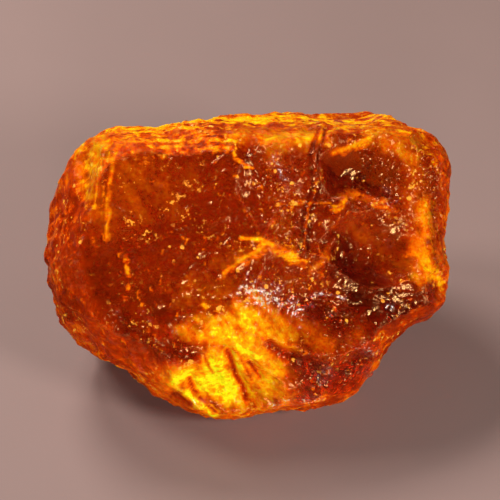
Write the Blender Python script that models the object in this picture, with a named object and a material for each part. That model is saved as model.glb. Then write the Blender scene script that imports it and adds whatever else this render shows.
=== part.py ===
"""A raw piece of amber: one broken lump of fossil resin, resting on a flat patch of its underside.

The lump is told in the frame of its broad face, from the middle of the lump: u runs to the right, v up
the face and w straight out of it. Every point of the surface lies some way out from the heart, a point
inside the lump, and that reach is the least that the rounded body, its flat breaks and its hollow flake
scars allow. The lump is then tipped back, so that its broad face looks up, and cut flat where it rests.

WIDTH drives the size. All other lengths are in millimetres of a lump 74 mm wide.
"""
import math
from collections import namedtuple

import bpy
import numpy as np
from mathutils import Matrix, Vector, noise

WIDTH = 0.074            # metres, the lump's longest side
UNIT = WIDTH / 74        # metres to one millimetre of the tables below
FACE_TILT = 45.0         # degrees from level up to the broad face
REST_LEVEL = 24.5        # how far the resting plane lies under the middle of the lump

HEART = np.array((0.0, 0.0, -8.0))
FRONT = 24.5             # reach of the body towards the broad face
BACK = 21.0              # reach of the body away from it
FULLNESS = 2.9           # 2 is an ellipsoid, more is boxier
PROPORTIONS = (37.0, 28.0, 21.5)

FINE_LEVEL = 7           # subdivisions of the ball that the lump is shaped from
KEPT_SHARE = 0.122       # share of its faces that the finished solid keeps

AMBER_COLOUR = (0.42, 0.07, 0.006, 1.0)
AMBER_ROUGHNESS = 0.16
AMBER_IOR = 1.54

# The lump's rim as seen square on to the broad face: the corners (u, v) of one smooth closed curve.
OUTLINE = [
    (36.5, 4.2), (37.0, 13.6), (36.9, 18.5), (33.6, 23.2), (27.4, 25.9), (25.8, 28.0), (13.5, 28.2),
    (2.4, 27.6), (-9.4, 26.4), (-15.7, 24.6), (-23.9, 24.4), (-30.0, 21.5), (-34.7, 14.1), (-37.0, 3.7),
    (-36.0, -3.5), (-33.3, -11.2), (-28.1, -16.3), (-22.0, -19.5), (-15.7, -24.4), (-6.0, -28.1),
    (4.7, -26.9), (18.9, -23.9), (23.4, -19.5), (26.1, -14.8), (30.2, -11.5), (35.4, -8.2),
]

Flat = namedtuple("Flat", "facing distance softness freshness")
FLATS = [
    Flat((-0.07, 0.02, 1.00), 12.9, 0.8, 0.95),     # the broad face
    Flat((0.24, 0.06, 0.97), 14.3, 0.6, 0.90),      # right of its middle
    Flat((0.02, 0.97, 0.26), 24.6, 1.0, 0.20),      # top
    Flat((0.08, -0.55, 0.83), 19.2, 1.0, 0.80),     # front, sloping under
    Flat((-0.60, -0.55, 0.58), 27.6, 2.0, 0.50),    # lower left
    Flat((-0.75, 0.25, 0.61), 29.4, 1.4, 0.70),     # left flank
    Flat((0.72, 0.30, 0.62), 33.4, 1.2, 0.30),      # right flank
    Flat((0.55, -0.60, 0.58), 29.2, 1.0, 0.40),     # lower right
    Flat((0.05, 0.62, -0.78), 31.0, 0.8, 0.75),     # back, upper
    Flat((-0.55, 0.20, -0.81), 32.0, 1.6, 0.40),    # back, left
    Flat((0.62, 0.10, -0.78), 33.5, 1.2, 0.55),     # back, right
    Flat((-0.20, -0.25, -0.95), 29.4, 1.0, 0.60),   # back, under
    Flat((-0.93, -0.05, -0.36), 34.2, 1.4, 0.30),   # left end
    Flat((0.96, -0.12, -0.24), 34.6, 1.0, 0.45),    # right end
]

Scar = namedtuple("Scar", "near width length depth spin lean")
SCARS = [
    # a point near it, half width, half length, depth, spin in degrees, how its mouth leans in u and v
    Scar((-33.0, 6.0, 2.0), 6.0, 12.0, 1.0, 8, (0.0, 0.0)),
    Scar((-24.0, -12.0, 6.0), 5.5, 13.0, 0.9, 50, (0.0, 0.0)),
    Scar((-28.0, 16.5, 6.0), 4.4, 7.5, 1.0, 10, (0.0, 0.0)),
    Scar((9.3, -5.8, 12.0), 13.0, 8.8, 3.4, -17, (0.05, -0.10)),
    Scar((21.2, 2.4, 10.0), 8.6, 6.8, 2.7, 8, (0.10, 0.0)),
    Scar((20.4, 16.2, 10.0), 7.4, 5.6, 2.6, -10, (0.05, 0.10)),
    Scar((3.6, 14.4, 12.0), 6.0, 8.0, 1.5, -8, (0.0, 0.0)),
    Scar((17.2, -18.0, 6.0), 9.2, 6.6, 2.2, 30, (0.0, 0.0)),
    Scar((-4.0, -20.8, 7.0), 10.5, 7.2, 2.3, -12, (0.0, 0.0)),
    Scar((-0.2, 20.8, 12.0), 2.2, 3.2, 1.5, 10, (0.0, 0.15)),
    Scar((30.6, -3.0, 4.0), 5.0, 5.6, 1.4, 60, (0.0, 0.0)),
    Scar((32.0, 9.0, 4.0), 4.6, 6.2, 0.9, 0, (0.0, 0.0)),
    Scar((31.0, 20.5, 3.0), 5.2, 4.0, 1.0, 30, (0.0, 0.0)),
    Scar((28.5, -12.5, -6.0), 6.0, 5.0, 1.3, 30, (0.0, 0.0)),
    Scar((-8.0, 27.0, -10.0), 13.0, 6.5, 1.5, 8, (0.0, 0.0)),
    Scar((17.0, 27.0, -8.0), 9.5, 8.0, 1.7, -20, (0.0, 0.0)),
    Scar((2.0, 20.0, -24.0), 12.0, 7.0, 2.0, 15, (0.0, 0.0)),
    Scar((-22.0, 12.0, -22.0), 8.0, 10.5, 2.0, -15, (0.0, 0.0)),
    Scar((22.0, 10.0, -22.0), 9.0, 7.5, 1.8, 35, (0.0, 0.0)),
    Scar((-30.0, -8.0, -12.0), 7.0, 9.0, 1.5, 40, (0.0, 0.0)),
    Scar((34.0, 6.0, -14.0), 7.0, 8.5, 1.5, 5, (0.0, 0.0)),
]
SCAR_SOFTNESS = 0.35
SCAR_FRESHNESS = 1.0

CHIPS = 90               # small flakes lost from the crust, spread evenly in direction
CHIP_SIZES = (1.5, 4.2)  # half lengths, from the smallest to the largest
CHIP_SLENDERNESS = 0.7
CHIP_DEPTH = 0.17        # depth to half length
CHIPPED_BELOW = 0.7      # freshness under which the surface is crust and has chips

WAVER = 0.55             # how far noise pushes each break in or out, so that no edge is a clean curve
EDGE_REACH = 0.45        # how soon the crumbling fades away from an edge
HILLOCKS = (7.0, 0.14, 0.45)       # size, height on a clean break, extra height on the crust
CRUMBS = (2.6, 0.03, 0.30)         # the same for the small lumps
EDGE_CRUMBS = 0.22                 # extra height of the small lumps along edges

Rib = namedtuple("Rib", "height width corners")
RIBS = [
    # height above the face, or depth below it, half width, corners (u, v) of its line
    Rib(0.8, 1.0, [(13.3, 24.4), (11.5, 19.0), (12.1, 13.2), (10.4, 9.6), (9.7, 1.5)]),
    Rib(0.8, 1.4, [(-1.3, 1.0), (4.1, 3.3), (6.5, 1.9), (10.1, -0.8), (13.0, -2.1)]),
    Rib(0.9, 1.3, [(15.9, 9.6), (18.0, 12.3), (23.4, 11.0), (25.7, 8.5)]),
    Rib(0.9, 1.2, [(15.1, 4.0), (13.0, -0.5)]),
    Rib(0.6, 1.1, [(16.5, 19.1), (21.4, 21.2)]),
    Rib(0.5, 1.1, [(-22.9, 21.3), (-23.9, 14.1), (-24.3, 4.2)]),
    Rib(0.5, 1.1, [(-26.2, 20.5), (-26.8, 14.0), (-27.6, 8.0)]),
    Rib(0.7, 1.3, [(-10.4, -13.7), (-5.8, -14.0), (-2.0, -13.2), (3.2, -14.6)]),
    Rib(-0.9, 1.0, [(1.6, -12.8), (5.9, -15.2), (10.6, -17.9), (13.6, -20.6)]),
    Rib(-0.9, 0.9, [(-10.0, -20.1), (-9.5, -22.3), (-6.2, -25.9)]),
    Rib(-1.0, 0.9, [(-3.4, -15.0), (-2.4, -18.5), (-0.9, -21.4), (-0.4, -23.5)]),
    Rib(-0.7, 0.9, [(0.6, -17.2), (2.2, -19.7)]),
    Rib(-0.6, 0.9, [(-13.0, -23.1), (-10.0, -24.8)]),
    Rib(0.6, 1.2, [(-26.0, -7.5), (-22.8, -13.5), (-18.0, -18.0)]),
    Rib(0.5, 1.1, [(-30.0, -5.0), (-27.0, -11.0), (-23.0, -16.0)]),
    Rib(0.5, 1.1, [(-18.6, -9.0), (-15.5, -14.0), (-12.5, -19.0)]),
]
NEVER = 1e3              # the reach of a break that a direction does not meet


def unit(vector):
    """The vector at length 1."""
    vector = np.asarray(vector, float)
    return vector / np.linalg.norm(vector, axis=-1, keepdims=True)


def rim_radius(angles):
    """Radius of the outline at each angle, on a smooth curve through its corners."""
    corners = np.array(OUTLINE)
    corner_angles = np.arctan2(corners[:, 1], corners[:, 0])
    order = np.argsort(corner_angles)
    corner_angles = corner_angles[order]
    radii = np.hypot(corners[:, 0], corners[:, 1])[order]
    turn = 2 * math.pi
    knots = np.concatenate([corner_angles - turn, corner_angles, corner_angles + turn])
    values = np.tile(radii, 3)
    slopes = np.gradient(values, knots)
    first = np.clip(np.searchsorted(knots, angles) - 1, 0, len(knots) - 2)
    span = knots[first + 1] - knots[first]
    t = (angles - knots[first]) / span
    from_first = values[first] * (1 + 2 * t) + slopes[first] * span * t
    from_next = values[first + 1] * (3 - 2 * t) + slopes[first + 1] * span * (t - 1)
    return from_first * (1 - t) ** 2 + from_next * t ** 2


def body_reach(directions):
    """Reach of the rounded body: a superellipsoid whose rim is the outline."""
    u, v, w = directions.T
    across = np.hypot(u, v) / rim_radius(np.arctan2(v, u))
    through = np.abs(w) / np.where(w > 0, FRONT, BACK)
    return (across ** FULLNESS + through ** FULLNESS) ** (-1 / FULLNESS)


def flat_reach(directions, facing, distance):
    """Reach to a plane at that distance from the middle of the lump."""
    towards = directions @ facing
    met = towards > 1e-3
    return np.where(met, (distance - HEART @ facing) / np.where(met, towards, 1), NEVER)


def bowl_reach(directions, mouth, axes, scar):
    """Reach to an elliptic bowl, whose rim is level with the mouth at its half width and half length."""
    across, along, out = axes
    steep_across = scar.depth / scar.width ** 2
    steep_along = scar.depth / scar.length ** 2
    start = HEART - (mouth - out * scar.depth)
    a = steep_across * (directions @ across) ** 2 + steep_along * (directions @ along) ** 2
    b = 2 * steep_across * (start @ across) * (directions @ across)
    b += 2 * steep_along * (start @ along) * (directions @ along) - directions @ out
    c = steep_across * (start @ across) ** 2 + steep_along * (start @ along) ** 2 - start @ out
    under_root = b ** 2 - 4 * a * c
    divisor = np.sqrt(np.maximum(under_root, 0)) - b
    met = (under_root > 0) & (divisor > 1e-6)
    return np.where(met, 2 * c / np.where(met, divisor, 1), NEVER)


def soft_least(first, second, softness):
    """The lesser of two reaches, rounded off where they are close."""
    share = np.clip(0.5 + 0.5 * (second - first) / softness, 0, 1)
    return second + (first - second) * share - softness * share * (1 - share)


def noise_at(points, size, seed, octaves=3):
    """Fractal noise, about -1 to 1, with features of that size."""
    shift = Vector((seed * 17.3, seed * -9.1, seed * 5.7))
    roughness, lacunarity = 0.9, 2.1
    return np.array([noise.fractal(Vector(p) / size + shift, roughness, lacunarity, octaves) for p in points])


def rib_height(points):
    """How far the ribs and cracks of the broad face stand out at each point."""
    flat = points[:, :2]
    height = np.zeros(len(points))
    for rib in RIBS:
        nearest = np.full(len(points), NEVER)
        for start, end in zip(rib.corners, rib.corners[1:]):
            along = np.subtract(end, start)
            share = np.clip((flat - start) @ along / (along @ along), 0, 1)
            nearest = np.minimum(nearest, np.linalg.norm(flat - start - share[:, None] * along, axis=1))
        height += rib.height * np.exp(-(nearest / rib.width) ** 2)
    return np.where(points[:, 2] > HEART[2], height, 0)


class Lump:
    """The body and the breaks in it, in the order in which they were struck."""

    def __init__(self):
        self.breaks = []
        for flat in FLATS:
            self.break_flat(flat)
        for scar in SCARS:
            self.strike(scar)
        self.chip_crust()

    def surface(self, directions, waver=None):
        """Reach in each direction, how fresh the break there is and how near an edge it lies."""
        reach = body_reach(directions)
        freshness = np.zeros(len(directions))
        edge = np.zeros(len(directions))
        for number, (break_reach, softness, break_freshness) in enumerate(self.breaks):
            own = break_reach(directions)
            if waver is not None:
                turn = number * 2.4
                own = own + WAVER * (waver[0] * math.cos(turn) + waver[1] * math.sin(turn))
            near = np.exp(-np.abs(reach - own) / EDGE_REACH)
            cuts = own < reach
            edge = np.where(cuts, near, np.maximum(edge, near))
            freshness = np.where(cuts, break_freshness, freshness)
            reach = soft_least(reach, own, softness)
        return reach, freshness, edge

    def break_flat(self, flat):
        """Breaks the lump off along a plane."""
        facing = unit(flat.facing)
        self.breaks.append((lambda d: flat_reach(d, facing, flat.distance), flat.softness, flat.freshness))

    def mouth_of(self, scar):
        """Where the line from the heart past the scar's point leaves the lump, and the bowl's axes."""
        ray = unit(np.array(scar.near) - HEART)
        side = unit(np.cross(ray, (0.3, 1.0, 0.1)))
        up = np.cross(side, ray)
        step = 0.10
        rays = unit([ray, ray + side * step, ray - side * step, ray + up * step, ray - up * step])
        points = HEART + rays * self.surface(rays)[0][:, None]
        out = unit(np.cross(points[1] - points[2], points[3] - points[4]))
        out = unit(out * np.sign(out @ ray) + np.array((scar.lean[0], scar.lean[1], 0.0)))
        level = (0.0, 1.0, 0.0) if abs(out[1]) < 0.9 else (1.0, 0.0, 0.0)
        across = unit(np.cross(level, out))
        along = np.cross(out, across)
        spin = math.radians(scar.spin)
        turned = across * math.cos(spin) + along * math.sin(spin)
        return points[0], (turned, np.cross(out, turned), out)

    def strike(self, scar):
        """Takes a hollow flake off the lump."""
        mouth, axes = self.mouth_of(scar)
        self.breaks.append((lambda d: bowl_reach(d, mouth, axes, scar), SCAR_SOFTNESS, SCAR_FRESHNESS))

    def chip_crust(self):
        """Takes small flakes off the crust all round, none off the clean breaks."""
        golden = (math.sqrt(5) - 1) / 2
        directions = []
        for number in range(CHIPS):
            height = 1 - 2 * (number + 0.5) / CHIPS
            turn = 2 * math.pi * golden * number
            level = math.sqrt(1 - height ** 2)
            directions.append((level * math.cos(turn), height, level * math.sin(turn)))
        directions = unit(np.array(directions) * PROPORTIONS)
        freshness = self.surface(directions)[1]
        for number in np.flatnonzero(freshness < CHIPPED_BELOW):
            smallest, largest = CHIP_SIZES
            length = smallest + (largest - smallest) * (number * golden % 1) ** 2
            width = length * CHIP_SLENDERNESS
            near = tuple(HEART + directions[number] * FRONT)
            self.strike(Scar(near, width, length, length * CHIP_DEPTH, number * 77, (0.0, 0.0)))


def lump_points(ball_points):
    """Moves the points of a ball of radius 1 to the lump's surface."""
    directions = unit(ball_points * PROPORTIONS)
    lump = Lump()
    smooth = HEART + directions * lump.surface(directions)[0][:, None]
    waver = (noise_at(smooth, 9.0, 1), noise_at(smooth, 3.4, 2))
    reach, freshness, edge = lump.surface(directions, waver)
    crust = 1 - freshness
    reach = reach + rib_height(HEART + directions * reach[:, None])
    size, clean, rough = HILLOCKS
    reach = reach + noise_at(smooth, size, 3) * (clean + rough * crust)
    size, clean, rough = CRUMBS
    reach = reach + noise_at(smooth, size, 4) * (clean + rough * crust + EDGE_CRUMBS * edge)
    return HEART + directions * reach[:, None]


def amber_material():
    """Clear red-orange resin."""
    material = bpy.data.materials.new("amber")
    material.use_nodes = True
    shader = material.node_tree.nodes["Principled BSDF"]
    shader.inputs["Base Color"].default_value = AMBER_COLOUR
    shader.inputs["Roughness"].default_value = AMBER_ROUGHNESS
    shader.inputs["Metallic"].default_value = 0.0
    shader.inputs["IOR"].default_value = AMBER_IOR
    shader.inputs["Transmission Weight"].default_value = 0.8
    return material


def shaped_lump():
    """The lump in metres, tipped back on to the resting plane, as a dense mesh."""
    bpy.ops.mesh.primitive_ico_sphere_add(subdivisions=FINE_LEVEL, radius=1)
    lump = bpy.context.object
    lump.name = "amber_piece"
    lump.data.name = "amber_piece"
    ball = np.empty(len(lump.data.vertices) * 3, np.float32)
    lump.data.vertices.foreach_get("co", ball)
    points = lump_points(ball.reshape(-1, 3).astype(float))
    tilt = np.array(Matrix.Rotation(math.radians(90 - FACE_TILT), 3, "X"))
    points = points @ tilt.T + np.array((0.0, 0.0, REST_LEVEL))
    lump.data.vertices.foreach_set("co", (points * UNIT).astype(np.float32).ravel())
    lump.data.update()
    return lump


def thin_out(lump):
    """Drops the faces that the shape can do without."""
    decimate = lump.modifiers.new("fewer faces", "DECIMATE")
    decimate.ratio = KEPT_SHARE


def cut_base(lump, cutters):
    """Cuts the underside flat on the resting plane."""
    size = 2 * WIDTH
    bpy.ops.mesh.primitive_cube_add(size=size, location=(0, 0, -size / 2))
    ground = bpy.context.object
    ground.name = "ground_cutter"
    ground.hide_render = True
    ground.display_type = "WIRE"
    move_to(ground, cutters)
    boolean = lump.modifiers.new("flat base", "BOOLEAN")
    boolean.object = ground
    boolean.operation = "DIFFERENCE"
    boolean.solver = "EXACT"


def centre_over_origin(lump):
    """Moves the finished solid so that the middle of its box is over the origin."""
    finished = lump.evaluated_get(bpy.context.evaluated_depsgraph_get())
    corners = np.array(finished.bound_box)
    middle = (corners.min(axis=0) + corners.max(axis=0)) / 2
    lump.location = (-middle[0], -middle[1], 0)


def move_to(item, collection):
    """Puts an object in that collection alone."""
    for old in list(item.users_collection):
        old.objects.unlink(item)
    collection.objects.link(item)


def new_collection(name):
    """A new collection of the scene."""
    collection = bpy.data.collections.new(name)
    bpy.context.scene.collection.children.link(collection)
    return collection


def main():
    for item in list(bpy.data.objects):
        bpy.data.objects.remove(item)
    parts = new_collection("raw_amber_piece")
    cutters = new_collection("cutters")
    lump = shaped_lump()
    move_to(lump, parts)
    lump.data.materials.append(amber_material())
    thin_out(lump)
    cut_base(lump, cutters)
    centre_over_origin(lump)


main()
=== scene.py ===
"""The looks of a raw piece of amber: one broken lump of clear red-orange resin with a chipped crust.

The lump is told in the frame of its broad face, in millimetres from the middle of the lump: u runs to
the right, v up the face and w straight out of it. Every point of the surface lies some way out from the
heart, and that reach is the least that the rounded body, its flat breaks and its hollow flake scars
allow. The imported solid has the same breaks; here the surface is finer and has its small relief too.
"""

import math
from collections import namedtuple

import bmesh
import bpy
import numpy as np
from mathutils import Matrix, Vector, noise


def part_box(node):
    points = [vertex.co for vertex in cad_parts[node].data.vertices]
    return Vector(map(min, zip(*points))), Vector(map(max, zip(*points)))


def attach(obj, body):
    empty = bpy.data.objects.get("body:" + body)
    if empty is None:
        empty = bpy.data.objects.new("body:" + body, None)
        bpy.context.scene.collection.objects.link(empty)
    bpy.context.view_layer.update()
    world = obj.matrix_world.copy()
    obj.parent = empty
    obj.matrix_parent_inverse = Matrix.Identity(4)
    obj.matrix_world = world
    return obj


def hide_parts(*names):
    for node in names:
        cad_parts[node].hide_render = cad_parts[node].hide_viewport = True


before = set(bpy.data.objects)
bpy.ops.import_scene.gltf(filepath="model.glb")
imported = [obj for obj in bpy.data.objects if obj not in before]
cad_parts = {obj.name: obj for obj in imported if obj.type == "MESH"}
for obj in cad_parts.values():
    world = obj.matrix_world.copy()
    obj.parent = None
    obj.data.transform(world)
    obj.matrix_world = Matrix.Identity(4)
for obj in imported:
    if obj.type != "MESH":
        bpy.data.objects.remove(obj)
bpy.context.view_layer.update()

# ---------------------------------------------------------------- the lump's sizes, in millimetres

FACE_TILT = 45.0         # degrees from level up to the broad face
REST_LEVEL = 24.5        # how far the resting plane lies under the middle of the lump

HEART = np.array((0.0, 0.0, -8.0))       # the point that every reach is told from
FRONT = 24.5             # reach of the body towards the broad face
BACK = 21.0              # reach of the body away from it
FULLNESS = 2.9           # 2 is an ellipsoid, more is boxier
PROPORTIONS = (37.0, 28.0, 21.5)         # half lengths that even out the mesh's squares
NEVER = 1e3              # the reach of a break that a direction does not meet

MESH_CUTS = 126          # squares along each side of the cube that the lump is shaped from
FRONT_BIAS = 0.3         # how far the mesh is drawn together on the broad face's side

# The lump's rim as seen square on to the broad face: the corners (u, v) of one smooth closed curve.
OUTLINE = [
    (36.5, 4.2), (37.0, 13.6), (36.9, 18.5), (33.6, 23.2), (27.4, 25.9), (25.8, 28.0), (13.5, 28.2),
    (2.4, 27.6), (-9.4, 26.4), (-15.7, 24.6), (-23.9, 24.4), (-30.0, 21.5), (-34.7, 14.1), (-37.0, 3.7),
    (-36.0, -3.5), (-33.3, -11.2), (-28.1, -16.3), (-22.0, -19.5), (-15.7, -24.4), (-6.0, -28.1),
    (4.7, -26.9), (18.9, -23.9), (23.4, -19.5), (26.1, -14.8), (30.2, -11.5), (35.4, -8.2),
]

# Freshness is 1 on a clean break and 0 on the crust
Flat = namedtuple("Flat", "facing distance softness freshness")
FLATS = [
    Flat((-0.07, 0.02, 1.00), 12.9, 0.8, 0.95),     # the broad face
    Flat((0.24, 0.06, 0.97), 14.3, 0.6, 0.90),      # right of its middle
    Flat((0.02, 0.97, 0.26), 24.6, 1.0, 0.20),      # top
    Flat((0.08, -0.55, 0.83), 19.2, 1.0, 0.80),     # front, sloping under
    Flat((-0.60, -0.55, 0.58), 27.6, 2.0, 0.50),    # lower left
    Flat((-0.75, 0.25, 0.61), 29.4, 1.4, 0.70),     # left flank
    Flat((0.72, 0.30, 0.62), 33.4, 1.2, 0.30),      # right flank
    Flat((0.55, -0.60, 0.58), 29.2, 1.0, 0.40),     # lower right
    Flat((0.05, 0.62, -0.78), 31.0, 0.8, 0.75),     # back, upper
    Flat((-0.55, 0.20, -0.81), 32.0, 1.6, 0.40),    # back, left
    Flat((0.62, 0.10, -0.78), 33.5, 1.2, 0.55),     # back, right
    Flat((-0.20, -0.25, -0.95), 29.4, 1.0, 0.60),   # back, under
    Flat((-0.93, -0.05, -0.36), 34.2, 1.4, 0.30),   # left end
    Flat((0.96, -0.12, -0.24), 34.6, 1.0, 0.45),    # right end
]

Scar = namedtuple("Scar", "near width length depth spin lean")
SCARS = [
    # a point near it, half width, half length, depth, spin in degrees, how its mouth leans in u and v
    Scar((-33.0, 6.0, 2.0), 6.0, 12.0, 1.0, 8, (0.0, 0.0)),
    Scar((-24.0, -12.0, 6.0), 5.5, 13.0, 0.9, 50, (0.0, 0.0)),
    Scar((-28.0, 16.5, 6.0), 4.4, 7.5, 1.0, 10, (0.0, 0.0)),
    Scar((9.3, -5.8, 12.0), 13.0, 8.8, 3.4, -17, (0.05, -0.10)),
    Scar((21.2, 2.4, 10.0), 8.6, 6.8, 2.7, 8, (0.10, 0.0)),
    Scar((20.4, 16.2, 10.0), 7.4, 5.6, 2.6, -10, (0.05, 0.10)),
    Scar((3.6, 14.4, 12.0), 6.0, 8.0, 1.5, -8, (0.0, 0.0)),
    Scar((17.2, -18.0, 6.0), 9.2, 6.6, 2.2, 30, (0.0, 0.0)),
    Scar((-4.0, -20.8, 7.0), 10.5, 7.2, 2.3, -12, (0.0, 0.0)),
    Scar((-0.2, 20.8, 12.0), 2.2, 3.2, 1.5, 10, (0.0, 0.15)),
    Scar((30.6, -3.0, 4.0), 5.0, 5.6, 1.4, 60, (0.0, 0.0)),
    Scar((32.0, 9.0, 4.0), 4.6, 6.2, 0.9, 0, (0.0, 0.0)),
    Scar((31.0, 20.5, 3.0), 5.2, 4.0, 1.0, 30, (0.0, 0.0)),
    Scar((28.5, -12.5, -6.0), 6.0, 5.0, 1.3, 30, (0.0, 0.0)),
    Scar((-8.0, 27.0, -10.0), 13.0, 6.5, 1.5, 8, (0.0, 0.0)),
    Scar((17.0, 27.0, -8.0), 9.5, 8.0, 1.7, -20, (0.0, 0.0)),
    Scar((2.0, 20.0, -24.0), 12.0, 7.0, 2.0, 15, (0.0, 0.0)),
    Scar((-22.0, 12.0, -22.0), 8.0, 10.5, 2.0, -15, (0.0, 0.0)),
    Scar((22.0, 10.0, -22.0), 9.0, 7.5, 1.8, 35, (0.0, 0.0)),
    Scar((-30.0, -8.0, -12.0), 7.0, 9.0, 1.5, 40, (0.0, 0.0)),
    Scar((34.0, 6.0, -14.0), 7.0, 8.5, 1.5, 5, (0.0, 0.0)),
]
SCAR_SOFTNESS = 0.35
SCAR_FRESHNESS = 1.0
ASKEW = (0.3, 1.0, 0.1)  # a direction in which no line from the heart to a scar runs

CHIPS = 90               # small flakes lost from the crust, spread evenly in direction
CHIP_SIZES = (1.5, 4.2)  # half lengths, from the smallest to the largest
CHIP_SLENDERNESS = 0.7
CHIP_DEPTH = 0.17        # depth to half length
CHIP_SPIN = 77           # degrees from each chip's spin to the next one's
CHIPPED_BELOW = 0.7      # freshness under which the surface is crust and has chips

# Noise pushes each break in or out, so that no edge is a clean curve
WAVER = 0.55             # how far
WAVER_NOISES = [(9.0, 1), (3.4, 2), (1.6, 9)]      # size and seed of two coarse noises and a fine one
WAVER_TURN = 2.4         # radians by which each break's blend of the coarse noises turns on
FINE_WAVER = 0.6         # share of the fine noise
FINE_WAVER_TURN = 1.7    # how many times faster its share turns
EDGE_REACH = 0.45        # how soon the crumbling fades away from an edge

Layer = namedtuple("Layer", "size seed clean crusted")
HILLOCKS = Layer(7.0, 3, 0.14, 0.45)     # size, seed, height on a clean break, extra height on the crust
CRUMBS = Layer(2.6, 4, 0.03, 0.30)
EDGE_CRUMBS = 0.22                       # extra height of the crumbs along edges

# The two lines (u, v) that flank the rib down the face
GROOVES = [
    [(12.9, 24.4), (11.0, 19.0), (11.5, 13.4), (10.0, 9.6), (9.2, 1.5)],
    [(14.2, 24.4), (12.3, 18.6), (12.8, 13.0), (11.0, 9.0), (10.4, 1.5)],
]

Rib = namedtuple("Rib", "height width corners")
RIBS = [
    # height above the face, or depth below it, half width, corners (u, v) of its line
    Rib(0.8, 1.0, [(13.3, 24.4), (11.5, 19.0), (12.1, 13.2), (10.4, 9.6), (9.7, 1.5)]),
    Rib(0.8, 1.4, [(-1.3, 1.0), (4.1, 3.3), (6.5, 1.9), (10.1, -0.8), (13.0, -2.1)]),
    Rib(0.9, 1.3, [(15.9, 9.6), (18.0, 12.3), (23.4, 11.0), (25.7, 8.5)]),
    Rib(0.9, 1.2, [(15.1, 4.0), (13.0, -0.5)]),
    Rib(0.6, 1.1, [(16.5, 19.1), (21.4, 21.2)]),
    Rib(0.5, 1.1, [(-22.9, 21.3), (-23.9, 14.1), (-24.3, 4.2)]),
    Rib(0.5, 1.1, [(-26.2, 20.5), (-26.8, 14.0), (-27.6, 8.0)]),
    Rib(0.7, 1.3, [(-10.4, -13.7), (-5.8, -14.0), (-2.0, -13.2), (3.2, -14.6)]),
    Rib(-0.9, 1.0, [(1.6, -12.8), (5.9, -15.2), (10.6, -17.9), (13.6, -20.6)]),
    Rib(-0.9, 0.9, [(-10.0, -20.1), (-9.5, -22.3), (-6.2, -25.9)]),
    Rib(-1.0, 0.9, [(-3.4, -15.0), (-2.4, -18.5), (-0.9, -21.4), (-0.4, -23.5)]),
    Rib(-0.7, 0.9, [(0.6, -17.2), (2.2, -19.7)]),
    Rib(-0.6, 0.9, [(-13.0, -23.1), (-10.0, -24.8)]),
    Rib(0.6, 1.2, [(-26.0, -7.5), (-22.8, -13.5), (-18.0, -18.0)]),
    Rib(0.5, 1.1, [(-30.0, -5.0), (-27.0, -11.0), (-23.0, -16.0)]),
    Rib(0.5, 1.1, [(-18.6, -9.0), (-15.5, -14.0), (-12.5, -19.0)]),
]

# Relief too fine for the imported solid
FINE_RIBS = [
    *(Rib(-0.30, 0.35, groove) for groove in GROOVES),
    Rib(-0.35, 0.25, [(5.6, 10.4), (14.9, 10.5)]),
    Rib(0.25, 0.35, [(-28.4, 18.0), (-29.0, 12.0), (-28.6, 6.0)]),
    Rib(0.22, 0.30, [(-25.2, 21.0), (-25.6, 14.0), (-26.0, 6.0)]),
    Rib(0.18, 0.25, [(-22.0, 20.5), (-22.6, 14.0), (-23.0, 6.0)]),
    Rib(0.20, 0.30, [(25.5, -1.2), (34.5, -1.6)]),
    Rib(0.20, 0.30, [(26.0, -2.9), (34.5, -3.2)]),
    Rib(0.20, 0.30, [(26.5, -4.6), (34.0, -4.8)]),
    Rib(0.20, 0.30, [(27.5, -6.2), (33.5, -6.3)]),
]
# The rings that spread round a point in the biggest scar
RIPPLES_MIDDLE = (13.1, -14.7)
RIPPLES_START = (7.0, 8.0)               # radii between which they rise
RIPPLES_END = (10.0, 12.0)               # and between which they die away
RIPPLES_ABOVE = (2.0, 5.0)               # how far above their middle they set in
RIPPLE_SPACING = 1.3
RIPPLE_HEIGHT = 0.05
RIPPLE_SWAY = 1.4                        # how far noise bends them
GRIT = Layer(1.1, 5, 0.012, 0.10)
GRIT_ON_EDGES = 0.6                      # how much like crust an edge is
Streaks = namedtuple("Streaks", "along stretch size seed height")
TOP_STREAKS = Streaks((1.0, 0.06, 0.0), 6.0, 1.0, 6, 0.22)
TOP_EDGE = (21.0, 24.0)                  # v between which they set in
FLOW_STREAKS = Streaks((-0.50, 0.86, 0.0), 5.0, 1.0, 7, 0.30)
FLOW_LEFT = (9.0, 14.0)                  # -u, -v and w between which they set in
FLOW_LOW = (0.0, 8.0)
FLOW_FRONT = (-10.0, -4.0)

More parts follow.
